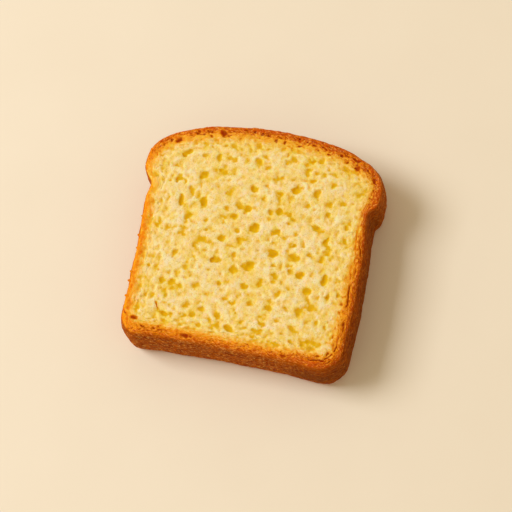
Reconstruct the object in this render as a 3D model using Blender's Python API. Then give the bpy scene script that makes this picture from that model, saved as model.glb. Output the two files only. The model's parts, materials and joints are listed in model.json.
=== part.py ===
"""A thick slice of yellow tin loaf, lying flat on one of its two cut faces.

+Z goes up through the thickness, +Y from the loaf's flat base to its domed top,
and the origin is under the middle of the slice. The crumb's largest bubbles are
open dents in both cut faces, and the crust is the slice's own rounded wall.
"""
import math
import random

import bmesh
import bpy
from mathutils import Matrix, Vector

MM = 0.001

# The cut across the loaf: x from the middle of the base, y up from the base.
THICKNESS = 28.0 * MM
BASE_HALF_WIDTH = 52.9 * MM
CORNER_RADIUS = {"left": 7.0 * MM, "right": 9.5 * MM}
NECK = {"left": (55.6 * MM, 73.0 * MM), "right": (50.7 * MM, 77.0 * MM)}
SHOULDER = {"left": (60.5 * MM, 86.0 * MM), "right": (53.9 * MM, 88.0 * MM)}
CROWN = (3.7 * MM, 110.2 * MM)
DOME_FULLNESS = 2.22

# The pulls of the curves between those places: a share of the way, or a step outwards and up.
FOOT_PULL_SHARE = 0.45
FOOT_PULL_OUT = 0.8 * MM
NECK_PULL_BELOW = (2.2 * MM, -12.0 * MM)
NECK_PULL_SHARE = 0.28
NECK_PULL_OUT = 0.2 * MM
SHOULDER_PULL_SHARE = 0.75

# How finely each stretch of the outline is cut up.
BASE_STEPS = 9
CORNER_STEPS = 6
WALL_STEPS = 14
SHOULDER_STEPS = 6
DOME_STEPS = 18

# The wall between the two cuts, and how far the crust strays from true.
WALL_BULGE = 1.3 * MM
EDGE_ROUNDING = 1.3 * MM
WALL_LEVELS = 3
ROUNDING_LEVELS = 3
WAVES = ((5, 0.30 * MM), (11, 0.22 * MM), (23, 0.14 * MM))

# The bubbles that the cuts opened.
CRUST_WIDTH = 6.0 * MM
STRETCH_REACH = 14.0 * MM
STRETCH_AT_CRUST = 1.1
BUBBLE_GAP = 0.7 * MM
BUBBLE_DEPTH = 0.62
BUBBLE_RISE = 0.22
RAGGEDNESS = 0.12
FACET_ALLOWANCE = 1.12
SMALLEST_BUBBLE = 2.1 * MM
SCATTERED = {"top": (60, 3.0 * MM), "bottom": (92, 4.8 * MM)}
CHOICES = 14
TURN_SPREAD = 0.35
REST_SPOT_RADIUS = 6.0 * MM
SEED = 41

# The largest bubbles of the upper cut, in millimetres from its middle:
# x, y, length, width and the turn of the length in degrees.
LARGE_BUBBLES = (
    # under the dome
    (-38.7, 37.0, 6.5, 3.4, 45), (-22.7, 37.0, 4.0, 2.6, 80), (-4.0, 38.5, 3.6, 3.0, 0),
    (1.0, 36.5, 4.2, 2.8, 20), (32.5, 38.5, 4.0, 2.6, 0), (34.3, 33.5, 3.4, 3.0, 60),
    # between the shoulders
    (-40.0, 24.0, 6.2, 3.0, 90), (-28.5, 27.5, 4.6, 3.4, 0), (-13.7, 21.0, 4.6, 3.8, 0),
    (-3.2, 24.5, 4.6, 4.0, 0), (10.0, 24.0, 5.2, 4.2, 80), (17.0, 27.5, 4.8, 4.2, 20),
    (23.3, 21.0, 3.6, 3.4, 0), (26.8, 27.5, 4.6, 3.4, 80),
    # above the middle
    (-35.7, 12.5, 6.8, 2.6, 95), (-24.7, 14.5, 7.4, 3.6, 90), (-4.7, 14.5, 4.8, 4.4, 90),
    (10.5, 15.5, 5.0, 3.8, 90), (26.5, 14.0, 4.2, 3.0, 90), (30.5, 10.5, 4.4, 3.0, 0),
    (44.5, 13.8, 4.0, 2.2, 90), (2.0, 5.5, 5.6, 4.8, 0), (36.0, 4.5, 7.5, 2.6, 55),
    # below the middle
    (-12.7, -2.0, 4.4, 3.2, 90), (12.8, -5.5, 5.0, 4.4, 0), (23.3, -5.3, 5.0, 3.8, 0),
    (-33.0, -14.0, 5.0, 3.0, 80), (-12.7, -13.5, 5.0, 3.8, 0), (-3.7, -16.5, 5.0, 3.4, 30),
    (4.0, -13.0, 6.6, 4.6, 90), (10.0, -19.5, 4.8, 3.4, 90), (27.3, -12.5, 5.4, 3.8, 90),
    (40.0, -12.5, 7.2, 3.2, 90),
    # towards the base
    (-36.0, -26.5, 5.0, 3.2, 90), (-4.2, -30.8, 4.6, 2.8, 0), (16.8, -32.0, 4.6, 2.6, 0),
    (19.3, -25.0, 5.2, 3.4, 60), (32.3, -21.5, 4.6, 3.8, 60), (43.0, -22.0, 6.0, 2.0, 85),
    (30.5, -30.0, 4.2, 3.6, 45),
)

CRUST_COLOUR = (0.52, 0.19, 0.035, 1.0)
CRUMB_COLOUR = (0.90, 0.66, 0.24, 1.0)


def clear_scene():
    for thing in list(bpy.data.objects):
        bpy.data.objects.remove(thing, do_unlink=True)


def make_material(name, colour, roughness):
    material = bpy.data.materials.new(name)
    material.use_nodes = True
    shader = material.node_tree.nodes["Principled BSDF"]
    shader.inputs["Base Color"].default_value = colour
    shader.inputs["Roughness"].default_value = roughness
    return material


def bezier(start, pull_start, pull_end, end, steps):
    """Points along a curve from start, up to but without its end."""
    points = []
    for step in range(steps):
        t = step / steps
        s = 1 - t
        points.append(start * s**3 + pull_start * (3 * s * s * t)
                      + pull_end * (3 * s * t * t) + end * t**3)
    return points


def half_outline(side):
    """One side of the cut, from the middle of the base up to the crown."""
    sign = -1 if side == "left" else 1
    wall = sign * BASE_HALF_WIDTH
    radius = CORNER_RADIUS[side]
    neck = Vector((sign * NECK[side][0], NECK[side][1]))
    shoulder = Vector((sign * SHOULDER[side][0], SHOULDER[side][1]))
    crown = Vector(CROWN)

    flat = wall - sign * radius
    points = [Vector((step / BASE_STEPS * flat, 0)) for step in range(BASE_STEPS)]
    for step in range(CORNER_STEPS):
        angle = math.radians(90 * step / CORNER_STEPS)
        points.append(Vector((wall - sign * radius * (1 - math.sin(angle)),
                              radius * (1 - math.cos(angle)))))

    # The wall leans in or out a little up to the neck, where it turns sharply
    # into the shoulder that swelled over the rim of the tin.
    foot = Vector((wall, radius))
    points += bezier(foot, foot.lerp(neck, FOOT_PULL_SHARE) + Vector((sign * FOOT_PULL_OUT, 0)),
                     neck + Vector((sign * NECK_PULL_BELOW[0], NECK_PULL_BELOW[1])), neck, WALL_STEPS)
    rise = shoulder.y - neck.y
    points += bezier(neck, neck + Vector((sign * NECK_PULL_OUT, NECK_PULL_SHARE * rise)),
                     shoulder - Vector((0, SHOULDER_PULL_SHARE * rise)), shoulder, SHOULDER_STEPS)

    # The dome is a quarter of a slightly full ellipse.
    for step in range(DOME_STEPS):
        angle = math.radians(90 * step / DOME_STEPS)
        across = math.cos(angle) ** (2 / DOME_FULLNESS)
        up = math.sin(angle) ** (2 / DOME_FULLNESS)
        points.append(Vector((crown.x + (shoulder.x - crown.x) * across,
                              shoulder.y + (crown.y - shoulder.y) * up)))
    return points


def cut_outline():
    """The whole cut, anticlockwise from the middle of the base, centred on its box."""
    right = half_outline("right")
    left = half_outline("left")
    points = right + [Vector(CROWN)] + left[:0:-1]
    middle = Vector(middle_of_box(points))
    return [point - middle for point in points]


def middle_of_box(points):
    """The middle of the points' box, seen from above."""
    return [(min(point[axis] for point in points) + max(point[axis] for point in points)) / 2
            for axis in (0, 1)]


def outward(points):
    """The outward direction at each point of an anticlockwise outline."""
    count = len(points)
    directions = []
    for index in range(count):
        along = points[(index + 1) % count] - points[index - 1]
        directions.append(Vector((along.y, -along.x)).normalized())
    return directions


def wall_profile():
    """Pairs of a height and how far the wall stands out there, from the lower cut to the upper."""
    middle = THICKNESS / 2
    heights = [EDGE_ROUNDING * (1 - math.cos(math.radians(90 * step / ROUNDING_LEVELS)))
               for step in range(ROUNDING_LEVELS)]
    straight = THICKNESS - 2 * EDGE_ROUNDING
    heights += [EDGE_ROUNDING + straight * step / (WALL_LEVELS + 1) for step in range(WALL_LEVELS + 2)]
    heights += [THICKNESS - height for height in heights[ROUNDING_LEVELS - 1::-1]]

    profile = []
    for height in heights:
        depth = max(EDGE_ROUNDING - min(height, THICKNESS - height), 0)
        rounding = EDGE_ROUNDING - math.sqrt(EDGE_ROUNDING**2 - depth**2)
        bulge = WALL_BULGE * (1 - ((height - middle) / middle) ** 2)
        profile.append((height, bulge - rounding))
    return profile


def crust_wave(fraction, height, phases):
    """How far the crust strays outwards at a place round the outline."""
    twist = height / THICKNESS
    return sum(size * math.sin(2 * math.pi * count * fraction + phase + twist)
               for (count, size), phase in zip(WAVES, phases))


def make_slice(outline, material):
    """The slice as one closed solid, lofted through level outlines."""
    dice = random.Random(SEED)
    phases = [dice.uniform(0, 2 * math.pi) for _ in WAVES]
    directions = outward(outline)
    count = len(outline)

    shape = bmesh.new()
    rings = []
    for height, stand_out in wall_profile():
        ring = []
        for index, (point, direction) in enumerate(zip(outline, directions)):
            spot = point + direction * (stand_out + crust_wave(index / count, height, phases))
            ring.append(shape.verts.new((spot.x, spot.y, height)))
        rings.append(ring)
    for lower, upper in zip(rings, rings[1:]):
        for index in range(count):
            after = (index + 1) % count
            shape.faces.new((lower[index], lower[after], upper[after], upper[index]))
    shape.faces.new(rings[0][::-1])
    shape.faces.new(rings[-1])
    bread = finish_object("bread_slice", shape, material)
    centre_on_origin(bread)
    return bread


def finish_object(name, shape, material):
    mesh = bpy.data.meshes.new(name)
    shape.to_mesh(mesh)
    shape.free()
    mesh.materials.append(material)
    thing = bpy.data.objects.new(name, mesh)
    bpy.context.scene.collection.objects.link(thing)
    return thing


def centre_on_origin(thing):
    """Put the middle of the object's box over the origin."""
    middle = middle_of_box([vertex.co for vertex in thing.data.vertices])
    thing.data.transform(Matrix.Translation((-middle[0], -middle[1], 0)))


def nearest_wall(spot, outline):
    """Distance from a spot to the outline, and the direction of the outline there in radians."""
    best = (math.inf, 0.0)
    for start, end in zip(outline, outline[1:] + outline[:1]):
        along = end - start
        t = min(max((spot - start).dot(along) / along.length_squared, 0), 1)
        distance = (spot - start - along * t).length
        if distance < best[0]:
            best = (distance, math.atan2(along.y, along.x))
    return best


def is_inside(spot, outline):
    inside = False
    for start, end in zip(outline, outline[1:] + outline[:1]):
        if (start.y > spot.y) != (end.y > spot.y):
            if spot.x < start.x + (spot.y - start.y) / (end.y - start.y) * (end.x - start.x):
                inside = not inside
    return inside


def named_bubbles():
    """The hand-placed bubbles: middle, half length, half width and turn."""
    return [(Vector((x * MM, y * MM)), length * MM / 2, width * MM / 2, math.radians(turn))
            for x, y, length, width, turn in LARGE_BUBBLES]


def try_bubble(size, outline, dice):
    """A bubble of about this size somewhere in the crumb, drawn out along a crust that is near."""
    x_reach = max(p.x for p in outline)
    y_reach = max(p.y for p in outline)
    spot = Vector((dice.uniform(-x_reach, x_reach), dice.uniform(-y_reach, y_reach)))
    if not is_inside(spot, outline):
        return None
    distance, along = nearest_wall(spot, outline)
    stretch = 1 + STRETCH_AT_CRUST * math.exp(-distance / STRETCH_REACH)
    length, width = size / 2 * stretch, size / 2 / math.sqrt(stretch)
    if distance < CRUST_WIDTH + width:
        return None
    return spot, length, width, along + dice.uniform(-TURN_SPREAD, TURN_SPREAD)


def clearance(bubble, others, rest_spot):
    """The crumb left between a bubble and the nearest of the others."""
    spot, length = bubble[:2]
    gaps = [(spot - other[0]).length - length - other[1] for other in others]
    if rest_spot:
        gaps.append(spot.length - length - REST_SPOT_RADIUS)
    return min(gaps, default=math.inf)


def scatter_bubbles(bubbles, face, outline, dice, rest_spot):
    """Fill the crumb evenly, the largest first: each bubble takes the freest of a few spots."""
    wanted, largest = SCATTERED[face]
    for index in range(wanted):
        size = largest + (SMALLEST_BUBBLE - largest) * index / wanted
        tries = [try_bubble(size, outline, dice) for _ in range(CHOICES)]
        best = max((bubble for bubble in tries if bubble),
                   key=lambda bubble: clearance(bubble, bubbles, rest_spot))
        if clearance(best, bubbles, rest_spot) > BUBBLE_GAP:
            bubbles.append(best)
    return bubbles


def add_bubble(shape, bubble, face_height, outside, dice):
    """One ragged bubble, centred just off the cut so that more than half of it is open."""
    spot, length, width, turn = bubble
    depth = (length + width) * BUBBLE_DEPTH
    start = len(shape.verts)
    bmesh.ops.create_icosphere(shape, subdivisions=1, radius=FACET_ALLOWANCE)
    shape.verts.ensure_lookup_table()
    place = (Matrix.Translation((spot.x, spot.y, face_height + outside * depth * BUBBLE_RISE))
             @ Matrix.Rotation(turn, 4, "Z") @ Matrix.Diagonal((length, width, depth, 1)))
    for vertex in shape.verts[start:]:
        vertex.co = place @ (vertex.co * dice.uniform(1 - RAGGEDNESS, 1 + RAGGEDNESS / 2))


def make_bubbles(outline, material):
    """All the bubbles of both cut faces, as one cutter of separate lumps."""
    dice = random.Random(SEED + 1)
    top = scatter_bubbles(named_bubbles(), "top", outline, dice, rest_spot=False)
    bottom = scatter_bubbles([], "bottom", outline, dice, rest_spot=True)
    shape = bmesh.new()
    for bubble in top:
        add_bubble(shape, bubble, THICKNESS, 1, dice)
    for bubble in bottom:
        add_bubble(shape, bubble, 0.0, -1, dice)
    cutter = finish_object("open_bubbles", shape, material)
    cutter.hide_render = True
    cutter.display_type = "WIRE"
    return cutter


def open_the_crumb(bread, cutter):
    cut = bread.modifiers.new("Open crumb", "BOOLEAN")
    cut.operation = "DIFFERENCE"
    cut.solver = "EXACT"
    cut.object = cutter


def main():
    clear_scene()
    outline = cut_outline()
    bread = make_slice(outline, make_material("crust", CRUST_COLOUR, 0.6))
    cutter = make_bubbles(outline, make_material("crumb", CRUMB_COLOUR, 0.7))
    open_the_crumb(bread, cutter)


main()
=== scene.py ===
# %% [markdown]
# # A thick slice of yellow tin loaf
#
# A slice of bread looks simple until it is lit from the side. Its face is a cut through
# hundreds of bubbles, so it is all small hollows with soft lips, and its crust is a thin
# brown skin that is darkest at the very edge. This lesson grows such a slice as a block of
# voxels, opens the bubbles in it, turns the block into a mesh, and then gives that mesh one
# material that knows how far each spot is from the crust and how deep it lies in a bubble.
#
# The plain solid of the slice comes first. It sets the size, the outline and the places of
# the largest bubbles, and everything below is worked out from it.

# %% The plain solid
import math
import random

import bmesh
import bpy
import numpy as np
import openvdb
from mathutils import Matrix, Vector
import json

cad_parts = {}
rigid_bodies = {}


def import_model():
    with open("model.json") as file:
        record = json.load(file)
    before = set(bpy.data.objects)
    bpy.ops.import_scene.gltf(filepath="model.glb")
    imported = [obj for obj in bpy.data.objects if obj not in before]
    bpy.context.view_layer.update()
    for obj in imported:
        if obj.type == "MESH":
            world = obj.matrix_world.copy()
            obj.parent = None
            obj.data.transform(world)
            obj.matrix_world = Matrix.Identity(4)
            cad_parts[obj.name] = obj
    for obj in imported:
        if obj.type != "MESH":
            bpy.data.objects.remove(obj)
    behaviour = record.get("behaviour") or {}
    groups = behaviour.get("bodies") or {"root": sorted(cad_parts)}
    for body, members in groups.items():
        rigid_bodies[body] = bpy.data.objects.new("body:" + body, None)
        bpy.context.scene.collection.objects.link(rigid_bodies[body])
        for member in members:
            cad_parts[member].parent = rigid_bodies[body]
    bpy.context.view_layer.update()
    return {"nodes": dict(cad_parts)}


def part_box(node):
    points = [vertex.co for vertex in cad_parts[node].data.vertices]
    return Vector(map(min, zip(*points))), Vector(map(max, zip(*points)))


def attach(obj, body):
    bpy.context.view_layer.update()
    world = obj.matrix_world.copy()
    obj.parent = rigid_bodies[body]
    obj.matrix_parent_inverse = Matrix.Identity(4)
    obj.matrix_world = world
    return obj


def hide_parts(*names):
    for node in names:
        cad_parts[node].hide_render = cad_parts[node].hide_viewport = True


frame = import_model()

MM = 0.001
low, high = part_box("bread_slice")
THICKNESS = (high.z - low.z) / MM
print(f"slice: {(high.x - low.x) / MM:.1f} x {(high.y - low.y) / MM:.1f} x {THICKNESS:.1f} mm")

# %% [markdown]
# ## Reading the outline
#
# The plain solid is a stack of level rings, and its middle ring is the slice's widest
# outline. Seen from the middle of the slice no part of that ring hides another, so sorting
# its points by their bearing puts them in order. All lengths from here on are millimetres:
# round numbers are easier to read, and one factor turns them into metres at the end.

# %% The outline
solid = frame["nodes"]["bread_slice"].data
corners = np.array([vertex.co for vertex in solid.vertices]) / MM
ring = corners[np.abs(corners[:, 2] - THICKNESS / 2) < 0.05][:, :2]
ring = np.unique(ring.round(3), axis=0)
outline = ring[np.argsort(np.arctan2(ring[:, 1], ring[:, 0]))]
print(f"outline: {len(outline)} points")

# %% [markdown]
# ## A block of voxels
#
# The slice is carved from a block of small cubes, each of which holds one number: its
# distance from the surface, negative inside. Distances are easy to combine, and that is why
# this way was chosen over cutting a mesh with thousands of little Booleans. The larger of
# two numbers cuts one shape with the other, and adding a wobble to the number makes the
# surface wobble.
#
# The outline only has to be measured once, on a flat grid: how far each cell is from it,
# and how far round the slice its nearest point lies.

# %% The block and its flat map
VOXEL = 0.30
MARGIN = 1.6
WALL_BULGE = 1.3
EDGE_ROUNDING = 1.3

xs = np.arange(low.x / MM - MARGIN, high.x / MM + MARGIN, VOXEL, dtype=np.float32)
ys = np.arange(low.y / MM - MARGIN, high.y / MM + MARGIN, VOXEL, dtype=np.float32)
zs = np.arange(low.z / MM - MARGIN, high.z / MM + MARGIN, VOXEL, dtype=np.float32)
block = (len(xs), len(ys), len(zs))


def measure_outline(points):
    """Signed distance from the outline, and the length of outline behind the nearest point."""
    x, y = np.meshgrid(xs, ys, indexing="ij")
    nearest = np.full(x.shape, np.inf, np.float32)
    along = np.zeros(x.shape, np.float32)
    inside = np.zeros(x.shape, bool)
    walked = 0.0
    for start, end in zip(points, np.roll(points, -1, axis=0)):
        step = end - start
        length = float(np.hypot(*step))
        t = np.clip(((x - start[0]) * step[0] + (y - start[1]) * step[1]) / length**2, 0, 1)
        distance = np.hypot(x - start[0] - t * step[0], y - start[1] - t * step[1])
        closer = distance < nearest
        nearest[closer] = distance[closer]
        along[closer] = walked + t[closer] * length
        walked += length
        if start[1] != end[1]:
            crossing = start[0] + (y - start[1]) * step[0] / step[1]
            inside ^= ((start[1] > y) != (end[1] > y)) & (x < crossing)
    return np.where(inside, -nearest, nearest), along, walked


# No tin lets a loaf rise evenly: x, y, how far it reaches round that place, and how far the
# wall is drawn in there, or let out where the number is negative.
UNEVEN_WALLS = (
    # left: a waist, with a wider foot and neck
    (-54, -10, 14, 1.3), (-54, 17, 4, 0.5), (-50, -46, 8, -1.3), (-58, 28, 4, -0.9),
    # base: drawn in at the middle and let out towards the right corner
    (-43, -56, 5, -0.5), (-4, -56, 14, 0.95), (41, -56, 11, -1.25),
    # right: a shallower neck and a softer shoulder
    (56, 14, 7, 0.6), (56, 24.5, 4, -0.5), (58, 39, 6, 0.8),
    # dome
    (-19, 56, 6, 0.5), (4, 56, 9, -0.8),
)

wall_map, along_map, girth = measure_outline(outline)
for x, y, reach, drawn_in in UNEVEN_WALLS:
    away = np.hypot(xs[:, None] - x, ys[None, :] - y) / reach
    wall_map += drawn_in * np.exp(-(away**2))
print(f"block: {block} voxels, girth {girth:.0f} mm")


def look_up(flat_map, x, y):
    """The flat map's value at a spot, given in millimetres."""
    column = np.clip(np.round((x - xs[0]) / VOXEL).astype(int), 0, block[0] - 1)
    row = np.clip(np.round((y - ys[0]) / VOXEL).astype(int), 0, block[1] - 1)
    return flat_map[column, row]


# %% [markdown]
# ## Soft randomness
#
# Real crumb is uneven at every size. The helper below starts from one random number per
# cell, takes the result apart into waves, and keeps only the waves longer than a lump. What
# is left is a smooth field that wanders between about -1 and 1 and leans to no direction,
# and its opposite ends meet, so a sheet of it can be wrapped round the slice without a seam.
# Every draw is seeded, so the slice comes out the same each time.

# %% Lumpy fields
SMOOTHING = 2.4
LUMP_SPREAD = 0.45
TILE = 144


def lumps(seed, *sizes, shape):
    """A smooth random field with lumps of these sizes in millimetres."""
    waves = np.fft.rfftn(np.random.default_rng(seed).standard_normal(shape))
    frequencies = [np.fft.fftfreq(count, VOXEL) for count in shape[:-1]]
    frequencies.append(np.fft.rfftfreq(shape[-1], VOXEL))
    damping = sum((frequency * size) ** 2 for frequency, size in zip(np.ix_(*frequencies), sizes))
    field = np.fft.irfftn(waves * np.exp(-SMOOTHING * damping), shape)
    return (field * (LUMP_SPREAD / field.std())).astype(np.float32)


def lumps_in_block(seed, size):
    """Lumps all through the block, from one tile laid side by side."""
    tile = lumps(seed, size, size, size, shape=(TILE, TILE, block[2]))
    return tile[np.ix_(np.arange(block[0]) % TILE, np.arange(block[1]) % TILE, np.arange(block[2]))]


def along_crust(seed, length, width, rows):
    """A sheet of lumps to wrap round the slice, and each flat cell's column of it."""
    columns = int(girth / VOXEL)
    sheet = lumps(seed, length, width, shape=(columns, rows))
    return sheet, np.minimum((along_map / girth * columns).astype(int), columns - 1)


print(f"a sheet of 3 mm lumps spans {np.ptp(lumps(1, 3, 3, shape=block[:2])):.2f}")

# %% [markdown]
# ## The uncut body
#
# The body is the outline pulled through the thickness. The wall bulges a little, because
# a thick slice relaxes when it lies down, and it meets both cuts in a rounded edge. The
# crust isn't smooth: it is finely wrinkled along the tin. Wrinkles are lumps on an unrolled
# wall, long round the slice and short through its thickness, wrapped back onto the wall.
#
# The cut faces aren't smooth either. A knife tears crumb rather than shaving it, and leaves
# a net of thin raised threads with shallow hollows between. The sign of a smooth random
# field changes along such a net, so taking the field without its sign gives hollows that
# meet in thin ridges. Under the crust the same trick on a wrapped sheet draws them out.

# %% The body
def crust_relief():
    """Wrinkles and pits of the crust, positive where it sinks in."""
    wrinkles, column = along_crust(21, 2.6, 0.75, block[2])
    blisters, _ = along_crust(22, 6.0, 3.4, block[2])
    pits, _ = along_crust(23, 1.3, 0.8, block[2])
    return (0.20 * wrinkles + 0.16 * blisters + 0.7 * np.clip(pits - 0.45, 0, 1))[column]


def crumb_net():
    """Torn crumb of a cut face, a flat map for each face, positive where it sinks in."""
    inwards = np.clip(-wall_map, 0, None)
    rows = int(inwards.max() / VOXEL) + 1
    row = np.minimum((inwards / VOXEL).astype(int), rows - 1)
    drawn = np.exp(-inwards / NET_REACH)
    faces = []
    for seed in (31, 51):
        open_net = 0.18 * np.abs(lumps(seed, 3.0, 3.0, shape=block[:2]))
        open_net += 0.18 * np.abs(lumps(seed + 1, 1.5, 1.5, shape=block[:2]))
        long_net, column = along_crust(seed + 2, 4.6, 1.3, rows)
        fibres, _ = along_crust(seed + 3, 2.2, 0.8, rows)
        long_net = (0.26 * np.abs(long_net) + 0.24 * np.abs(fibres))[column, row]
        chips, _ = along_crust(seed + 4, 1.8, 1.1, rows)
        chips = np.clip(chips, 0, 1)[column, row] * np.exp(-inwards / CHIP_REACH)
        sag = 0.10 * lumps(seed + 5, 9, 9, shape=block[:2])
        faces.append(open_net * (1 - drawn) + long_net * drawn + 0.8 * chips + sag)
    return faces


def leaning_walls():
    """How far the wall is drawn in at the two necks, where it doesn't stand upright."""
    up = (1 + heights / half) / 2
    drawn_in = np.zeros(block, np.float32)
    for x, y, reach, above, below in LEANING_WALLS:
        away = np.hypot(xs[:, None] - x, ys[None, :] - y) / reach
        drawn_in += np.exp(-(away**2))[:, :, None] * (below + (above - below) * up)
    return drawn_in


def right_side(from_x, below_y):
    """1 down the slice's right side and 0 elsewhere, for each flat cell."""
    to_right = np.clip((xs - from_x) / ROLL_BLEND, 0, 1)[:, None]
    downwards = np.clip((below_y - ys) / ROLL_BLEND, 0, 1)[None, :]
    return to_right * downwards


def rolled_edge():
    """How round the edge is at each flat cell: the crust rolls in at the right and the base."""
    at_base = np.clip((ROLL_BASE_Y - ys) / ROLL_BLEND, 0, 1)[None, :]
    rolled = np.maximum(right_side(ROLL_FROM_X, ROLL_BELOW_Y), at_base)
    radius = EDGE_ROUNDING + (ROLLED_ROUNDING - EDGE_ROUNDING) * rolled
    return (radius + LOW_RIGHT_ROUNDING * right_side(ROLL_FROM_X, LOW_RIGHT_Y))[:, :, None]


def broken_lines(rows):
    """Broken grooves along the crust, from 0 to 1; a row is a seed, an inset and a share."""
    lines = np.zeros(block[:2])
    for seed, inset, share in rows:
        wander, column = along_crust(seed, 8.0, 1.0, 1)
        wiggle, _ = along_crust(seed + 1, 2.2, 1.0, 1)
        broken, _ = along_crust(seed + 2, 5.0, 1.0, 1)
        middle = inset + 0.7 * wander[column, 0] + 0.45 * wiggle[column, 0]
        present = np.clip(share + 1.5 * broken[column, 0], 0, 1)
        lines += present * np.exp(-(((-wall_map - middle) / GROOVE_WIDTH) ** 2))
    return np.clip(lines, 0, 1)


def lifted_crust():
    """Where the crust lifts from the crumb on the right, and wrinkles at the left foot."""
    to_left = np.clip((FOOT_FROM_X - xs) / ROLL_BLEND, 0, 1)[:, None]
    downwards = np.clip((FOOT_BELOW_Y - ys) / ROLL_BLEND, 0, 1)[None, :]
    lifted = broken_lines(LIFTED_LINES) * right_side(LIFT_FROM_X, LIFT_BELOW_Y)
    return np.maximum(lifted, FOOT_STRENGTH * broken_lines(FOOT_LINES) * to_left * downwards)


def rolled_bead():
    """A lumpy bead outside the groove on the right, where the crust stands a little proud."""
    ripples, column = along_crust(91, 1.8, 1.0, 1)
    swell, _ = along_crust(92, 7.0, 1.0, 1)
    height = np.clip(1 + 0.8 * ripples[column, 0] + 0.6 * swell[column, 0], 0, None)
    bead = height * np.exp(-(((-wall_map - BEAD_INSET) / BEAD_WIDTH) ** 2))
    return bead * right_side(LIFT_FROM_X, LIFT_BELOW_Y)


# x, y, reach, and how far the wall is drawn in at its upper edge and at its foot
LEANING_WALLS = ((-56, 21, 8, 0.0, 1.6), (55, 20, 5, 1.8, 0.0))
BEAD_INSET = 3.7
BEAD_WIDTH = 1.1
BEAD_HEIGHT = 0.40
NET_REACH = 7.0
CHIP_REACH = 2.4
ROLLED_ROUNDING = 3.6
LOW_RIGHT_ROUNDING = 1.1
LOW_RIGHT_Y = -2.0
ROLL_FROM_X = 22.0
ROLL_BELOW_Y = 24.0
ROLL_BASE_Y = -44.0
ROLL_BLEND = 12.0
LIFTED_LINES = ((61, 5.4, 1.1), (67, 3.5, 0.55))
LIFT_FROM_X = 32.0
LIFT_BELOW_Y = 18.0
FOOT_LINES = ((81, 1.6, 0.40), (84, 3.0, 0.45), (87, 4.4, 0.35))
FOOT_STRENGTH = 0.75
FOOT_FROM_X = -18.0
FOOT_BELOW_Y = -38.0
GROOVE_WIDTH = 0.50
GROOVE_DEPTH = 1.0
half = THICKNESS / 2
heights = (zs - half)[None, None, :]
wall_field = wall_map[:, :, None] + WALL_BULGE * (heights / half) ** 2 + leaning_walls()
across_wall = (wall_field + crust_relief()).astype(np.float32)
under_face = np.abs(heights) - half

upper_net, lower_net = crumb_net()
grooves = lifted_crust()
upper_net += GROOVE_DEPTH * grooves - BEAD_HEIGHT * rolled_bead()
lower_net = np.clip(lower_net, 0, None)
face_relief = np.where(heights > 0, upper_net[:, :, None], lower_net[:, :, None])
rounding = rolled_edge()
from_wall = across_wall + rounding
from_face = under_face + face_relief + rounding
body = np.minimum(np.maximum(from_wall, from_face), 0)
body += np.hypot(np.maximum(from_wall, 0), np.maximum(from_face, 0)) - rounding
body = body.astype(np.float32)
print(f"body: {(body < 0).sum() * VOXEL**3 / 1000:.0f} cubic centimetres")

# %% [markdown]
# ## Where the largest bubbles are
#
# Every dent in the plain solid is an island of corners under a cut face. Taking each island
# with the rim it touches, and measuring how far it reaches along and across its longest
# direction, gives back the bubble's middle, size and turn.

# %% Bubbles of the plain solid
DENT_MARGIN = 4.0
FACE_TOLERANCE = 0.02


def measure_island(points):
    """A row of x, y, face, length, width and turn for one dent's corners."""
    face = 1 if points[:, 2].mean() > half else -1
    flat = points[:, :2]
    middle = (flat.min(0) + flat.max(0)) / 2
    directions = np.linalg.svd(flat - flat.mean(0), full_matrices=False)[2]
    length, width = np.ptp(flat @ directions.T, axis=0)
    return middle[0], middle[1], face, length, width, math.atan2(directions[0, 1], directions[0, 0])


def dents_of_solid():
    """One row for each dent in the two cut faces."""
    shape = bmesh.new()
    shape.from_mesh(solid)
    bmesh.ops.remove_doubles(shape, verts=shape.verts, dist=FACE_TOLERANCE * MM / 2)
    waiting = set()
    for vertex in shape.verts:
        x, y, z = vertex.co / MM
        if min(z, THICKNESS - z) > FACE_TOLERANCE and look_up(wall_map, x, y) < -DENT_MARGIN:
            waiting.add(vertex)
    rows = []
    while waiting:
        queue = [waiting.pop()]
        island = set(queue)
        while queue:
            for edge in queue.pop().link_edges:
                for vertex in edge.verts:
                    island.add(vertex)
                    if vertex in waiting:
                        waiting.remove(vertex)
                        queue.append(vertex)
        rows.append(measure_island(np.array([vertex.co / MM for vertex in island])))
    shape.free()
    return sorted(rows)


dents = dents_of_solid()
print(f"dents: {sum(row[2] > 0 for row in dents)} above, {sum(row[2] < 0 for row in dents)} below")
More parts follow.
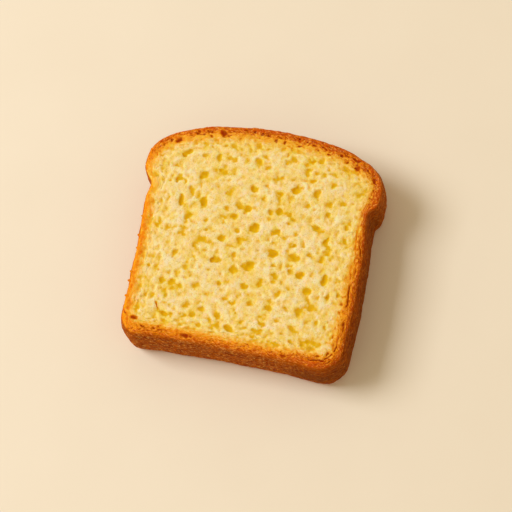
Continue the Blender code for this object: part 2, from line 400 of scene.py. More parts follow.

# %% [markdown]
# ## Filling in the smaller bubbles
#
# The plain solid keeps only its largest bubbles. The next size down is placed on the upper
# cut, where the real slice has them: x, y, length and width in millimetres, and the turn of
# the length in degrees. They are shallower, and their floors are lit, so they read as soft
# golden patches and not as holes.

# %% Bubbles placed one by one
MEDIUM_BUBBLES = (
    # under the dome
    (-29.5, 35.5, 3.6, 2.6, 0), (19, 41.5, 3.6, 2.4, 10), (-1, 41.5, 3, 2.4, -20),
    (-14.7, 33, 2.5, 2, 0), (-19.2, 33, 3, 2, 90),
    # between the shoulders
    (-43, 29.5, 4, 2.4, 0), (39, 24.5, 3.6, 2.8, 90), (-18.5, 26, 2.5, 2, 90),
    (47.3, 29.5, 2, 2, 0), (-32, 18, 4, 3.4, 90), (34.3, 14.5, 2, 1.2, 90),
    # round the middle
    (7, 11, 3, 3, 0), (-12.7, 7.5, 4.2, 3.2, 80), (-31, 6.5, 5, 3.6, 70), (11.5, 5.5, 5, 3.4, 20),
    (-3.5, -2, 4, 3, 90), (20.8, 0.5, 3.6, 3, 0), (-39.7, -2, 4.2, 2.8, 90), (-6.7, -5.8, 3.2, 3, 0),
    (-24, -7.5, 4.2, 2.6, 80), (-16.7, 6.5, 3, 2.5, 90), (17.3, 4, 4, 3, 90),
    (-42.7, 7.5, 5, 1.5, 90), (-32.2, -1.5, 3.5, 2.5, 90), (45.8, -4.5, 4, 2, 90),
    (-45.7, -26.5, 4, 1.8, 90), (-45.7, -32.5, 5, 2.2, 90),
    # below the middle
    (33.3, -11.5, 3.5, 2, 90), (17.8, -10.5, 4, 2, 90), (-39.2, -16.5, 3.5, 2, 80),
    (-22.7, -18, 3, 2, 90), (-30, -22.5, 4.4, 3, 110), (-19.2, -23, 2.5, 2, 90),
    (-10.7, -24, 3, 2, 90), (2.3, -23.5, 5, 4, 0),
    # towards the base
    (-39, -32.5, 4.5, 2.4, 110), (-35, -33.5, 4, 2.2, 90), (25, -31.5, 4.4, 2.8, 0),
    (36, -35, 4.2, 2.4, 30), (36.8, -29, 3.5, 2.5, 90), (-13.2, -30.3, 3.6, 2.2, 0),
    (-21.7, -38.5, 4, 2.5, 0), (13, -43.5, 4, 1.5, 0), (32, -40.5, 3, 1.8, 0),
    (44.5, -41.5, 3.6, 1.8, 55), (43.3, -45.5, 3, 1, 50), (22.3, -37.5, 3, 1.2, 0),
)

# Small deep pits in the crust's own band, where the skin lifted from the crumb.
CRUST_PITS = (
    # under the domed top
    (-44.2, 42.5, 4, 2, 30), (-35.7, 48.5, 1.6, 1.2, 0), (-31.7, 49.5, 1.6, 1.2, 0),
    (-23.7, 50, 4, 2.6, 0), (-2.2, 52.5, 1.6, 1, 0), (3.8, 52.5, 3, 1.5, 0),
    (20.3, 51.5, 2.6, 1.2, 0), (43, 44, 3.4, 2, -45), (52.2, 38.8, 2.6, 1.6, -50),
    # streaks down the dome's right side
    (25, 51.2, 3.2, 1.1, -30), (34, 49, 2.4, 1.1, -22), (37.2, 49, 2.8, 1.2, -20), (41, 48, 4.4, 1.2, -30),
    (45.8, 46, 2.6, 1, -35), (48.5, 43, 3, 1.2, -45),
    # at the foot of the left band
    (-44.4, -48.3, 3.0, 1.6, 0), (-39.7, -51.6, 3.2, 1.0, -10), (-49.4, -46.4, 3.2, 0.8, -50),
    (-35.2, -40.5, 2.2, 0.4, -65),
    # along the base
    (-18.3, -52.4, 7.0, 2.0, 0), (28.3, -53, 3.4, 1.5, 0),
)
print(f"placed by hand: {len(MEDIUM_BUBBLES)} medium bubbles and {len(CRUST_PITS)} crust pits")

# %% [markdown]
# ## Filling in the rest
#
# A baker would say that the crumb is open in the middle and tight under the crust: bubbles
# are round in the middle, and near the crust they are smaller and flattened along it,
# because the loaf pressed against its own skin as it rose. The scatter follows that rule.
# Most scattered bubbles are shallow: their middle lies above the cut, so that the knife
# only took the bottom of them.

# %% Scattered bubbles
STRETCH_REACH = 9.0
STRETCH_AT_CRUST = 1.8
TURN_SPREAD = 0.35
SOFT = {"count": 470, "sizes": (1.7, 4.0), "crowding": 1.7, "from_crust": (9, 99),
        "sink": (-0.22, -0.04), "depth": 0.58}
FINE = {"count": 1900, "sizes": (0.7, 1.6), "crowding": 1.8, "from_crust": (4.0, 99),
        "sink": (-0.24, 0.05), "depth": 0.80}
UNDER_CRUST = {"count": 1700, "sizes": (0.6, 1.5), "crowding": 1.8, "from_crust": (2.2, 13),
               "sink": (-0.22, 0.12), "depth": 0.80}
IN_CRUST = {"count": 300, "sizes": (0.6, 1.4), "crowding": 2.0, "from_crust": (1.4, 7.5),
            "sink": (-0.15, 0.15), "depth": 0.9}
DOME_FROM_Y = 26.0
BASE_BELOW_Y = -48.0
PITTING = {"dome": 1.0, "base": 0.45, "sides": 0.10}
dice = random.Random(7)


def pitting(y):
    """How much of the crust's band is pitted at this place up the slice."""
    if y > DOME_FROM_Y:
        return PITTING["dome"]
    return PITTING["base"] if y < BASE_BELOW_Y else PITTING["sides"]


def crust_direction(x, y):
    """The bearing of the crust nearest to a spot: along the ridges of the flat map."""
    step = 2.0
    slope_x = look_up(wall_map, x + step, y) - look_up(wall_map, x - step, y)
    slope_y = look_up(wall_map, x, y + step) - look_up(wall_map, x, y - step)
    return math.atan2(slope_x, -slope_y)


def scattered(kind, face):
    """Rows of x, y, face, length, width, depth, turn and sink for bubbles of one kind."""
    smallest, largest = kind["sizes"]
    nearest, furthest = kind["from_crust"]
    rows = []
    while len(rows) < kind["count"]:
        x, y = dice.uniform(xs[0], xs[-1]), dice.uniform(ys[0], ys[-1])
        from_crust = -float(look_up(wall_map, x, y))
        if not nearest < from_crust < furthest:
            continue
        if kind is IN_CRUST and dice.random() > pitting(y):
            continue
        size = smallest + (largest - smallest) * dice.random() ** kind["crowding"]
        stretch = 1 + STRETCH_AT_CRUST * math.exp(-from_crust / STRETCH_REACH)
        turn = crust_direction(x, y) + dice.gauss(0, TURN_SPREAD)
        sink = dice.uniform(*kind["sink"]) * size
        rows.append((x, y, face, size * stretch**0.75, size / stretch**0.5, size * kind["depth"], turn, sink))
    return rows


small_bubbles = []
for face in (1, -1):
    for kind in (SOFT, FINE, UNDER_CRUST, IN_CRUST):
        small_bubbles += scattered(kind, face)
print(f"small bubbles: {len(small_bubbles)}")

# %% [markdown]
# ## Carving
#
# Each bubble is a stretched ball. Only the voxels near it are touched. Where two bubbles
# come close their distances melt together, as the wall between them does in real dough,
# and the melting is done with a sum of exponentials because it doesn't care for the order.
#
# No bubble is a true ball. A ball's distance adds up squares; with another power than two
# the same sum gives a diamond or a rounded square, which is how neighbours press a bubble
# into shape. And each leans, so that one of its walls is steep and the opposite one slopes.

# %% Carving the bubbles
MELT = 0.20
ROUNDED_LIP = 0.20
PIT_DEPTH = 1.5
PIT_SINK = 0.1
POWERS = (1.3, 3.6)
LEAN = 0.25
openings = np.zeros(block, np.float32)


def carve(x, y, z, length, width, depth, turn):
    """Open one ball-shaped bubble; length, width and depth are whole sizes."""
    reach = max(length, width) / 2 + 4 * MELT
    spans = []
    for middle, size, axis in ((x, reach, xs), (y, reach, ys), (z, depth / 2 + 4 * MELT, zs)):
        first, last = np.searchsorted(axis, (middle - size, middle + size))
        spans.append(slice(first, last))
    near_z = zs[spans[2]][None, None, :] - z
    near_x = xs[spans[0]][:, None, None] - x + dice.gauss(0, LEAN) * near_z
    near_y = ys[spans[1]][None, :, None] - y + dice.gauss(0, LEAN) * near_z
    c, s = math.cos(turn), math.sin(turn)
    u = np.abs(c * near_x + s * near_y) / (length / 2)
    v = np.abs(c * near_y - s * near_x) / (width / 2)
    power = dice.uniform(*POWERS)
    flat_part = (u**power + v**power) ** (2 / power)
    distance = (np.sqrt(flat_part + (near_z / (depth / 2)) ** 2) - 1) * min(length, width, depth) / 2
    openings[spans[0], spans[1], spans[2]] += np.exp(-distance / MELT)


def carve_large(x, y, face, length, width, turn):
    """A large bubble: a ball that the cut went through, with lobes on its wall."""
    level = THICKNESS if face > 0 else 0.0
    depth = LARGE_DEPTH * (length + width)
    carve(x, y, level + face * 0.2 * depth / 2, length, width, depth, turn)
    for _ in range(LOBES):
        bearing = dice.uniform(0, 2 * math.pi)
        size = dice.uniform(0.40, 0.65) * width
        sink = dice.uniform(-0.10, 0.12) * depth
        out = (0.34 * length * math.cos(bearing), 0.34 * width * math.sin(bearing))
        lobe_x = x + out[0] * math.cos(turn) - out[1] * math.sin(turn)
        lobe_y = y + out[0] * math.sin(turn) + out[1] * math.cos(turn)
        carve(lobe_x, lobe_y, level - face * sink, size, size, LOBE_DEPTH * size, 0)


LOBES = 4
LOBE_DEPTH = 0.70
LARGE_DEPTH = 0.37
MEDIUM_DEPTH = 0.29
for row in dents:
    carve_large(*row)
for x, y, length, width, turn in MEDIUM_BUBBLES:
    depth = MEDIUM_DEPTH * (length + width)
    carve(x, y, THICKNESS + 0.1 * depth, length, width, depth, math.radians(turn))
for x, y, length, width, turn in CRUST_PITS:
    carve(x, y, THICKNESS - PIT_SINK, length, width, PIT_DEPTH, math.radians(turn))
for x, y, face, length, width, depth, turn, sink in small_bubbles:
    level = THICKNESS if face > 0 else 0.0
    carve(x, y, level - face * sink, length, width, depth, turn)

tear = 0.22 * lumps_in_block(41, 1.1) + 0.36 * lumps_in_block(42, 2.4)
bubbles = -MELT * np.log(openings + 1e-6) + tear
shape_field = ROUNDED_LIP * np.logaddexp(body / ROUNDED_LIP, -bubbles / ROUNDED_LIP)
shape_field = shape_field.astype(np.float32)

# A few crumbs cling to the edge on the left: places up the slice, and sizes.
CLINGING_CRUMBS = ((-8, 1.5), (-14.5, 1.2), (-31, 1.4), (-38.5, 1.2), (1.5, 0.9), (-26.5, 0.9))
for y, size in CLINGING_CRUMBS:
    column = wall_map[:, int((y - ys[0]) / VOXEL)]
    x = xs[int(np.argmax(column < -WALL_BULGE))] - 0.2 * size
    apart = np.sqrt((xs[:, None, None] - x) ** 2 + (ys[None, :, None] - y) ** 2
                    + (zs[None, None, :] - (THICKNESS - 0.4 * size)) ** 2) - size / 2
    shape_field = np.minimum(shape_field, apart + 0.5 * tear)
print(f"carved: {(shape_field < 0).sum() * VOXEL**3 / 1000:.0f} cubic centimetres left")

# %% [markdown]
# ## From voxels to a mesh
#
# The surface is where the distance is zero. The voxel library that Blender ships with turns
# it into quads in a blink. That mesh is far denser than it needs to be on the smooth crust,
# so a Decimate modifier merges faces where the surface is flat and keeps them in the
# hollows. Crumbs that came loose inside a bubble are dropped.

# %% The mesh
FACE_BUDGET = 196000


def mesh_of_field(name, field):
    grid = openvdb.FloatGrid(background=3 * VOXEL)
    grid.copyFromArray(np.clip(field, -3 * VOXEL, 3 * VOXEL))
    points, _, quads = grid.convertToPolygons(isovalue=0.0, adaptivity=0.0)
    points = points * VOXEL + np.array([xs[0], ys[0], zs[0]])
    mesh = bpy.data.meshes.new(name)
    mesh.vertices.add(len(points))
    mesh.vertices.foreach_set("co", (points * MM).astype(np.float32).ravel())
    mesh.loops.add(quads.size)
    mesh.loops.foreach_set("vertex_index", quads[:, ::-1].astype(np.int32).ravel())
    mesh.polygons.add(len(quads))
    mesh.polygons.foreach_set("loop_start", np.arange(0, quads.size, 4, dtype=np.int32))
    mesh.update(calc_edges=True)
    return mesh


def thin_out(mesh, budget):
    """The same mesh with about as many triangles as the budget."""
    rough = bpy.data.objects.new("rough", mesh)
    bpy.context.scene.collection.objects.link(rough)
    thinner = rough.modifiers.new("Thin out", "DECIMATE")
    thinner.ratio = budget / (2 * len(mesh.polygons))
    evaluated = rough.evaluated_get(bpy.context.evaluated_depsgraph_get())
    thin = bpy.data.meshes.new_from_object(evaluated)
    bpy.data.objects.remove(rough)
    return thin


def drop_loose(mesh):
    """Keep the largest connected piece."""
    shape = bmesh.new()
    shape.from_mesh(mesh)
    waiting = set(shape.verts)
    islands = []
    while waiting:
        queue = [waiting.pop()]
        island = list(queue)
        while queue:
            for edge in queue.pop().link_edges:
                for vertex in edge.verts:
                    if vertex in waiting:
                        waiting.remove(vertex)
                        queue.append(vertex)
                        island.append(vertex)
        islands.append(island)
    islands.sort(key=len)
    for island in islands[:-1]:
        bmesh.ops.delete(shape, geom=island, context="VERTS")
    bmesh.ops.triangulate(shape, faces=shape.faces)
    shape.to_mesh(mesh)
    shape.free()
    return len(islands) - 1


dense = mesh_of_field("dense", shape_field)
print(f"dense mesh: {len(dense.polygons)} quads")
crumb_mesh = thin_out(dense, FACE_BUDGET)
scraps = drop_loose(crumb_mesh)
print(f"slice mesh: {len(crumb_mesh.polygons)} triangles, {scraps} loose scraps dropped")

# %% [markdown]
# ## What each corner of the mesh knows
#
# The finish has to change with the place: brown at the crust, gold in the bubbles. Six
# facts are stored on the mesh's corners, where the material can read them.
#
# - `crust`: how far the corner is from the wall, in millimetres.
# - `depth`: how far it lies under the nearer cut face.
# - `hollow`: how much bread there is round it. On a flat face half of a small ball round a
#   corner is bread; at the bottom of a bubble it is more, on a lip it is less.
# - `steep`: how far the surface leans, from 0 where it is level to 1 where it is upright.
# - `lifted`: whether it is in a groove or a deep pit of the crust, where the skin came away.
# - `grain`: a place on the unrolled crust. It goes round the slice on a circle, so there is
#   no seam, and then over the edge and down the wall. Wrinkles follow it.

# %% Facts for the finish
HOLLOW_REACH = 4
PIT_SPREAD = 1.6
PIT_RAGGEDNESS = 0.6
LIFTED_DEPTH = 3.0
EDGE_TURN = 4.0
GRAIN_WANDER = 0.8


def lifted_places():
    """1 in a groove or a deep pit of the crust and 0 elsewhere, a flat map."""
    ragged = PIT_RAGGEDNESS * lumps(71, 1.4, 1.4, shape=block[:2])
    places = grooves
    for x, y, length, width, turn in CRUST_PITS:
        near_x, near_y = xs[:, None] - x, ys[None, :] - y
        c, s = math.cos(math.radians(turn)), math.sin(math.radians(turn))
        u = (c * near_x + s * near_y) / (length / 2)
        v = (c * near_y - s * near_x) / (width / 2)
        places = np.maximum(places, PIT_SPREAD - np.hypot(u, v) + ragged)
    return np.clip(places, 0, 1)


def box_blur(field, reach):
    """The mean over a box that reaches so many voxels each way."""
    for axis in range(3):
        moved = np.moveaxis(field, axis, 0)
        padded = np.concatenate([np.repeat(moved[:1], reach + 1, 0), moved, np.repeat(moved[-1:], reach, 0)])
        total = np.cumsum(padded, axis=0, dtype=np.float64)
        width = 2 * reach + 1
        field = np.moveaxis((total[width:] - total[:-width]) / width, 0, axis).astype(np.float32)
    return field


def sample(field, points):
    """The block's value at each point, blended between the eight voxels round it."""
    place = [(points[:, axis] - start[0]) / VOXEL for axis, start in enumerate((xs, ys, zs))]
    knot = [np.clip(p.astype(int), 0, n - 2) for p, n in zip(place, block)]
    t = [p - k for p, k in zip(place, knot)]
    value = 0
    for dx in (0, 1):
        for dy in (0, 1):
            for dz in (0, 1):
                weight = 1
                for part, step in zip(t, (dx, dy, dz)):
                    weight = weight * (part if step else 1 - part)
                value = value + weight * field[knot[0] + dx, knot[1] + dy, knot[2] + dz]
    return value


def add_fact(mesh, name, values):
    kind = "FLOAT_VECTOR" if values.ndim == 2 else "FLOAT"
    fact = mesh.attributes.new(name, kind, "POINT")
    fact.data.foreach_set("vector" if values.ndim == 2 else "value", values.astype(np.float32).ravel())


points = np.zeros(len(crumb_mesh.vertices) * 3, np.float32)
crumb_mesh.vertices.foreach_get("co", points)
points = points.reshape(-1, 3) / MM

bread_near = box_blur(box_blur((shape_field < 0).astype(np.float32), HOLLOW_REACH), HOLLOW_REACH // 2)
level = points[:, 2] - half
crust = -sample(wall_field, points)
depth = half - np.abs(level)
bearing = 2 * math.pi * look_up(along_map, points[:, 0], points[:, 1]) / girth
radius = girth / (2 * math.pi)
over_edge = level - half + crust * np.clip(level / EDGE_TURN, -1, 1)
over_edge += GRAIN_WANDER * look_up(lumps(72, 2.4, 2.4, shape=block[:2]), points[:, 0], points[:, 1])
grain = np.stack([radius * np.cos(bearing), radius * np.sin(bearing), over_edge], axis=1)
normals = np.zeros(len(crumb_mesh.vertices) * 3, np.float32)
crumb_mesh.vertices.foreach_get("normal", normals)
steep = 1 - np.abs(normals[2::3])
add_fact(crumb_mesh, "crust", crust)
add_fact(crumb_mesh, "depth", depth)
add_fact(crumb_mesh, "hollow", sample(bread_near, points))
add_fact(crumb_mesh, "steep", steep)
near_top = (level > 0) & (depth < LIFTED_DEPTH)
add_fact(crumb_mesh, "lifted", near_top * look_up(lifted_places(), points[:, 0], points[:, 1]))
add_fact(crumb_mesh, "grain", grain)
print(f"crust {crust.min():.1f} to {crust.max():.1f} mm, depth up to {depth.max():.1f} mm")

# %% [markdown]
# ## Writing a finish as sums
#
# Node trees grow hard to read, so a small class stands for one output of a node. Python's
# own signs then add the Math nodes, and one method, `add`, makes every other node: it takes
# the node's type, its settings, and the values or wires of its sockets.

# %% Wires and finishes
class Wire:
    """One output of a node, which can be used in a sum."""

    def __init__(self, finish, socket):
        self.finish, self.socket = finish, socket

    def math(self, operation, *values, clamp=False):
        settings = {"operation": operation, "use_clamp": clamp}
        return self.finish.add("ShaderNodeMath", settings, dict(enumerate(values)))

    def __add__(self, other):
        return self.math("ADD", self, other)

    def __radd__(self, other):
        return self.math("ADD", other, self)

    def __sub__(self, other):
        return self.math("SUBTRACT", self, other)

    def __rsub__(self, other):
        return self.math("SUBTRACT", other, self)

    def __mul__(self, other):
        return self.math("MULTIPLY", self, other)

    def __rmul__(self, other):
        return self.math("MULTIPLY", other, self)

    def __truediv__(self, other):
        return self.math("DIVIDE", self, other)

    def __pow__(self, power):
        return self.math("POWER", self, power)

    def or_more(self, other):
        """The larger of the two."""
        return self.math("MAXIMUM", self, other)

    def between(self, start, end):
        """0 up to start, 1 from end on, and a soft step in between."""
        settings = {"interpolation_type": "SMOOTHSTEP"}
        return self.finish.add("ShaderNodeMapRange", settings, {"Value": self, "From Min": start, "From Max": end})


class Finish:
    """A material whose nodes are added one call at a time."""

    def __init__(self, name):
        self.material = bpy.data.materials.new(name)
        self.material.use_nodes = True
        self.tree = self.material.node_tree
        self.shader = self.tree.nodes["Principled BSDF"]

    def add(self, kind, settings=None, sockets=None, output=0):
        node = self.tree.nodes.new(kind)
        for name, value in (settings or {}).items():
            setattr(node, name, value)
        self.plug(node, sockets or {})
        return Wire(self, node.outputs[output])

    def plug(self, node, sockets):
        for name, value in sockets.items():
            if isinstance(value, Wire):
                self.tree.links.new(value.socket, node.inputs[name])
            else:
                node.inputs[name].default_value = value

    def fact(self, name, output="Fac"):
        return self.add("ShaderNodeAttribute", {"attribute_name": name}, output=output)

    def noise(self, place, size, detail=3.0, roughness=0.5, output="Fac"):
        """Cloudy noise with lumps of about this size, in the units of the place."""
        sockets = {"Vector": place, "Scale": 1 / size, "Detail": detail, "Roughness": roughness}
        return self.add("ShaderNodeTexNoise", None, sockets, output)

    def mix(self, factor, first, second):
        """A colour between two colours."""
        return self.add("ShaderNodeMix", {"data_type": "RGBA"}, {0: factor, 6: first, 7: second}, output=2)

    def shade(self, first, second, factor=1.0):
        """A colour multiplied by another."""
        settings = {"data_type": "RGBA", "blend_type": "MULTIPLY"}
        return self.add("ShaderNodeMix", settings, {0: factor, 6: first, 7: second}, output=2)

    def stretch(self, place, x, y, z):
        return self.add("ShaderNodeVectorMath", {"operation": "MULTIPLY"}, {0: place, 1: (x, y, z)})

    def finish_with(self, **sockets):
        self.plug(self.shader, {name.replace("_", " "): value for name, value in sockets.items()})
        return self.material


def tint(red, green, blue):
    """A colour given as it looks on a screen, 0 to 255, turned into light."""
    parts = [value / 255 for value in (red, green, blue)]
    return tuple(p / 12.92 if p <= 0.04045 else ((p + 0.055) / 1.055) ** 2.4 for p in parts) + (1.0,)


# %% [markdown]
# ## The bread's finish
#
# From the crust inwards the colours run from dark brown through orange and gold to the pale
# yellow of the crumb. The width of each band wanders, because an oven never browns evenly,
# and the domed top, which stuck out of the tin, is browner than the sides. In the bubbles
# light bounces between yellow walls and grows golden; part of that is light, and part is
# stored in the colour.

#
# Light goes into crumb and comes out of it again a millimetre away, which softens every
# small shadow and turns it gold. Crust is drier and lets far less through. How far light
# spreads has to be one number for a whole material, so the slice has two of them, made by
# the same function: the colours run on from one to the other and only the spreading differs.

# %% Bread
CRUMB_CREAM = tint(254, 233, 198)
CRUMB_YELLOW = tint(247, 215, 124)
CRUMB_STRAW = tint(238, 206, 77)
CRUMB_GOLD = tint(234, 186, 10)
CRUMB_FLECK_SHADE = tint(194, 157, 58)
CRUST_GOLD = tint(240, 184, 56)
CRUST_ORANGE = tint(235, 148, 18)
CRUST_BROWN = tint(200, 90, 8)
PIT_BROWN = tint(170, 56, 0)
WALL_TOP = tint(218, 107, 3)
WALL_LIGHT = tint(202, 101, 4)
WALL_DARK = tint(138, 51, 1)
PAINTED_WALL_SHADOW = tint(112, 58, 3)
PAINTED_SIDE_SHADE = tint(228, 225, 222)
GRAIN_LIGHT = tint(248, 188, 96)
GRAIN_DARK = tint(146, 50, 0)


def crumb_colour(bread, spot, crust, depth, hollow, steep, grain):
    """Cream on the threads of the net, yellow between them and gold in the bubbles."""
    near_crust = 1 - crust.between(5, 14)
    broad = bread.noise(spot, 14, 2) - 0.5
    fibre = bread.stretch(spot, 1.0, 0.6, 1.0)
    long_cloud = bread.noise(bread.stretch(grain, 0.35, 0.35, 1.0), 1.5, 3)
    cloud = bread.noise(fibre, 2.4, 3) * (1 - near_crust) + long_cloud * near_crust - 0.5
    fine = bread.noise(fibre, 0.7, 4, 0.65) - 0.5
    # Yellow and straw deeper below the cut, and gold in deep and enclosed places, are partly the crumb's own
    # colour and partly painted light and shade: the golden glow of light bouncing in the hollows, and their shade.
    sunk = depth + cloud * 1.5 + fine * 1.2 + broad * 0.4
    colour = bread.mix(sunk.between(-0.4, 0.6), CRUMB_CREAM, CRUMB_YELLOW)
    colour = bread.mix(sunk.between(0.3, 1.0), colour, CRUMB_STRAW)
    # Steep slopes are painted towards straw. This is painted shade, so that slopes that fall in shadow read amber
    # and not grey.
    colour = bread.mix(steep.between(0.03, 0.30) * 0.55, colour, CRUMB_STRAW)
    gold = (depth + cloud * 0.5 + fine * 0.4).between(0.40, 0.95) + hollow.between(0.54, 0.78) * 0.3
    colour = bread.mix(gold.between(0, 1.1), colour, CRUMB_GOLD)

    # The finest bubbles are single dark flecks, drawn out along the crust where it is near. The flecks are
    # painted shade: the shade inside holes too small to carve.
    round_fleck = bread.noise(spot, 0.6, 2, 0.65).between(0.56, 0.65)
    long_fleck = bread.noise(bread.stretch(grain, 0.4, 0.4, 1.0), 0.8, 2, 0.6).between(0.56, 0.64)
    fleck = round_fleck * (1 - near_crust) * 0.40 + long_fleck * near_crust * 0.6
    return bread.mix(fleck, colour, CRUMB_FLECK_SHADE)


def crust_colour(bread, spot, crumb, facts, streak, speckle):
    """The crust's bands over the crumb, by a distance from the wall that wanders."""
    crust, depth, hollow, lifted, wall, grain = facts
    across, up = (bread.add("ShaderNodeSeparateXYZ", None, {0: spot}, output=axis) for axis in (0, 1))
    dome = up.between(18, 42)
    toast = dome * (across / 160 + 0.75)
    base = 1 - up.between(-56, -44)
    shoulder = across.between(22, 40) * (1 - dome)
    right = shoulder * (1 - up.between(-26, 20))
    left = (1 - across.between(-52, -38)) * (1 - dome)

    # Bands of the cut face, from the crumb outwards.
    blotch = bread.noise(bread.stretch(grain, 0.45, 0.45, 1.0), 2.4, 3) - 0.5
    grit = bread.noise(bread.stretch(grain, 0.42, 0.42, 1.0), 0.6, 2, 0.7)
    neck = (1 - across.between(-52, -42)) * up.between(6, 17) * (1 - up.between(24, 36))
    near = crust + blotch * 3.6 + streak * 7.0 + speckle * 6.0 + (grit - 0.5) * 3.0 + neck * 1.9
    wider = (right * 2.6).or_more(base * (3.8 - across.between(-30, 20) * 2.0))
    away = near - dome * 1.6 - wider
    colour = bread.mix((away - dome).between(2.3, 7.1), CRUST_GOLD, crumb)
    colour = bread.mix(away.between(0.9, 4.1), CRUST_ORANGE, colour)
    browner = toast * 4.7 + shoulder * 3.0 + base * 2.6 - left * 2.2
    colour = bread.mix((near - browner).between(-2.0, 1.2), CRUST_BROWN, colour)

    # Marks in the bands: streaks of red-brown along the crust, and the floors of the pits and grooves. The floors
    # are partly the crust's own browner colour and partly painted shade, which grows where they lie deep and
    # enclosed.
    rough = 0.2 + toast * 1.2 + right * 0.6 + base * 0.7
    mark = bread.noise(bread.stretch(grain, 0.3, 0.3, 1.0), 0.75, 3, 0.6).between(0.54, 0.66)
    # Painted shade: a pit's floor darkens with its depth below the cut and with the bread round it.
    sunk = depth.between(0.4, 1.0) * hollow.between(0.50, 0.60)
    mark = (mark * (1 - away.between(1.5, 4.0)) + sunk * (1 - away.between(3.0, 6.0))) * rough
    mark = mark.or_more(lifted)
    colour = bread.mix(mark.between(0.0, 0.5), colour, CRUST_ORANGE)
    colour = bread.mix(mark.between(0.3, 1.1), colour, PIT_BROWN)

    # The wall, orange below the upper edge and browner further down. The orange is partly the crust's own colour
    # and partly painted light, where the rolled edge catches the lamp.
    patch = streak * 2.4 + speckle * 2.4 + blotch * 0.9 + 0.5
    skin = bread.mix(patch.between(0.0, 1.0), WALL_DARK, WALL_LIGHT)
    reach = 1 + base * across.between(-30, 20) * 0.5
    skin = bread.mix(((depth + patch * 2) / reach).between(0.3, 4.0), WALL_TOP, skin)
    # Painted shade: down the right side, the wall darkens away from its edges.
    skin = bread.mix(depth.between(4, 13) * shoulder * 0.45, skin, PAINTED_WALL_SHADOW)
    # Painted shade: the whole right side is multiplied darker, as the side that faces away from the lamp.
    skin = bread.shade(skin, PAINTED_SIDE_SHADE, shoulder)
    colour = bread.mix(wall, colour, skin)

    # Single toasted grains, lighter and darker.
    plain = 1 - wall * shoulder * 0.65
    lighter = grit.between(0.50, 0.72) * (1 - away.between(2.0, 6.0)) * (0.7 - left * 0.4) * plain * (1 - lifted)
    colour = bread.mix(lighter, colour, GRAIN_LIGHT)
    darker = (1 - grit).between(0.50, 0.72) * (1 - away.between(0.5, 3.0)) * (0.7 - left * 0.6) * plain
    return bread.mix(darker, colour, GRAIN_DARK)


def bread_finish(name, spread_weight, spread, gloss):
    """The bread's material; light spreads this far below its surface."""
    bread = Finish(name)
    spot = bread.stretch(bread.add("ShaderNodeTexCoord", output="Object"), 1 / MM, 1 / MM, 1 / MM)
    crust, depth, hollow, steep, lifted = (
        bread.fact(fact) for fact in ("crust", "depth", "hollow", "steep", "lifted"))
    grain = bread.fact("grain", "Vector")
    streak = bread.noise(bread.stretch(grain, 0.35, 0.35, 1.0), 1.1, 4, 0.6) - 0.5
    speckle = bread.noise(bread.stretch(grain, 0.6, 0.6, 1.0), 0.8, 3, 0.7) - 0.5
    wall = (depth * 0.5 - crust).between(-0.4, 0.5)

    crumb = crumb_colour(bread, spot, crust, depth, hollow, steep, grain)
    facts = (crust, depth, hollow, lifted, wall, grain)
    colour = crust_colour(bread, spot, crumb, facts, streak, speckle)

    grit = bread.noise(spot, 0.5, 4, 0.65)
    height = (streak * 1.0 + speckle * 2.4) * (wall * 0.7 + 0.3) + grit * 0.8
    bump = bread.add("ShaderNodeBump", None, {"Strength": 0.8, "Distance": 0.4 * MM, "Height": height})
    return bread.finish_with(
        Base_Color=colour, Roughness=0.80 - wall * 0.08 + speckle * 0.2, Normal=bump,
        Subsurface_Weight=spread_weight, Subsurface_Scale=spread,
        Subsurface_Radius=(1.0, 0.72, 0.18), Specular_IOR_Level=gloss)


CRUMB, CRUST = 0, 1
WALL_REACH = 0.7
bread_slice = bpy.data.objects.new("sliced_bread", crumb_mesh)
bpy.context.scene.collection.objects.link(bread_slice)
crumb_mesh.materials.clear()
crumb_mesh.materials.append(bread_finish("bread_crumb", 1.0, 4.4 * MM, 0.05))
crumb_mesh.materials.append(bread_finish("bread_crust", 0.12, 0.6 * MM, 0.04))

corners_of_faces = np.zeros(len(crumb_mesh.polygons) * 3, np.int32)
crumb_mesh.polygons.foreach_get("vertices", corners_of_faces)
corners_of_faces = corners_of_faces.reshape(-1, 3)
on_wall = (crust[corners_of_faces].mean(1) < WALL_REACH) & (depth[corners_of_faces].mean(1) > WALL_REACH)
crumb_mesh.polygons.foreach_set("material_index", np.where(on_wall, CRUST, CRUMB).astype(np.int32))
crumb_mesh.polygons.foreach_set("use_smooth", [True] * len(crumb_mesh.polygons))
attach(bread_slice, "root")
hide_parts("bread_slice")
print(f"bread: {on_wall.sum()} of {len(on_wall)} triangles are crust")

# %% [markdown]
# ## The floor
#
# A plain pale table lets the yellow speak. It isn't part of the object.

# %% The floor
FLOOR_SIDE = 4.0


def floor_finish():
    table = Finish("table")
    spot = table.add("ShaderNodeTexCoord", output="Object")
    colour = table.mix(table.noise(spot, 0.05, 3), tint(240, 229, 212), tint(236, 224, 206))
    return table.finish_with(Base_Color=colour, Roughness=0.7)


bpy.ops.mesh.primitive_plane_add(size=FLOOR_SIDE)
floor = bpy.context.object
floor.name = "floor"
floor.data.materials.append(floor_finish())
print("floor: laid")

# %% [markdown]
# ## Camera and light
#
# The slice was looked down on from about 70 degrees, with a long lens, and the camera was
# turned a little so that the slice leans to the right. The light is soft and comes low from
# the left: it fires up the left crust and leaves the right one dark. The air round the slice
# is much warmer than the lamp, so whatever the lamp doesn't reach turns amber, not grey.

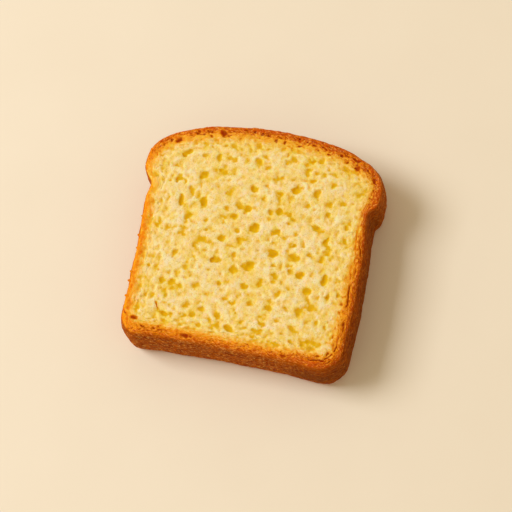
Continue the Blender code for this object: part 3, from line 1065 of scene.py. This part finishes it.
# %% Camera
CAMERA_BEARING = 32.0
CAMERA_RISE = 69.8
CAMERA_ROLL = -20.0
CAMERA_DISTANCE = 1.2
PIXELS_PER_MM = 2.10
PHOTO_SIDE = 512
SENSOR = 36.0
OFF_CENTRE = (-3.8, -8.2)


def look_from(bearing, rise):
    """A camera's rotation when it looks at the slice from a bearing and a height in degrees."""
    return (Matrix.Rotation(math.radians(bearing), 4, "Z")
            @ Matrix.Rotation(math.radians(90 - rise), 4, "X"))


camera_data = bpy.data.cameras.new("camera")
camera = bpy.data.objects.new("camera", camera_data)
bpy.context.scene.collection.objects.link(camera)
turned = look_from(CAMERA_BEARING, CAMERA_RISE) @ Matrix.Rotation(math.radians(CAMERA_ROLL), 4, "Z")
camera.matrix_world = (Matrix.Translation((0, 0, half * MM)) @ turned
                       @ Matrix.Translation((0, 0, CAMERA_DISTANCE)))
camera_data.sensor_width = SENSOR
camera_data.lens = PIXELS_PER_MM * CAMERA_DISTANCE / MM * SENSOR / PHOTO_SIDE
camera_data.shift_x = -OFF_CENTRE[0] / PHOTO_SIDE
camera_data.shift_y = OFF_CENTRE[1] / PHOTO_SIDE
bpy.context.scene.camera = camera
print(f"camera: {camera_data.lens:.0f} mm lens")


# %% Light
def add_lamp(name, bearing, rise, distance, side, power, colour):
    """A square lamp that looks at the slice from a bearing and a height in degrees."""
    lamp_data = bpy.data.lights.new(name, "AREA")
    lamp_data.size = side
    lamp_data.energy = power
    lamp_data.color = colour
    lamp = bpy.data.objects.new(name, lamp_data)
    bpy.context.scene.collection.objects.link(lamp)
    lamp.matrix_world = look_from(bearing, rise) @ Matrix.Translation((0, 0, distance))


add_lamp("window", -88, 48, 2.4, 1.2, 41.5, (0.98, 0.99, 1.0))

world = bpy.data.worlds.new("soft air")
bpy.context.scene.world = world
world.use_nodes = True
air = world.node_tree.nodes["Background"].inputs
air["Color"].default_value = (1.0, 0.83, 0.55, 1.0)
air["Strength"].default_value = 0.56
bpy.context.scene.view_settings.view_transform = "Standard"
print("light: a window and soft air")

# %% [markdown]
# ## The end
#
# The finished slice has to fill the box of the plain solid.

# %% Sizes and finish
import json
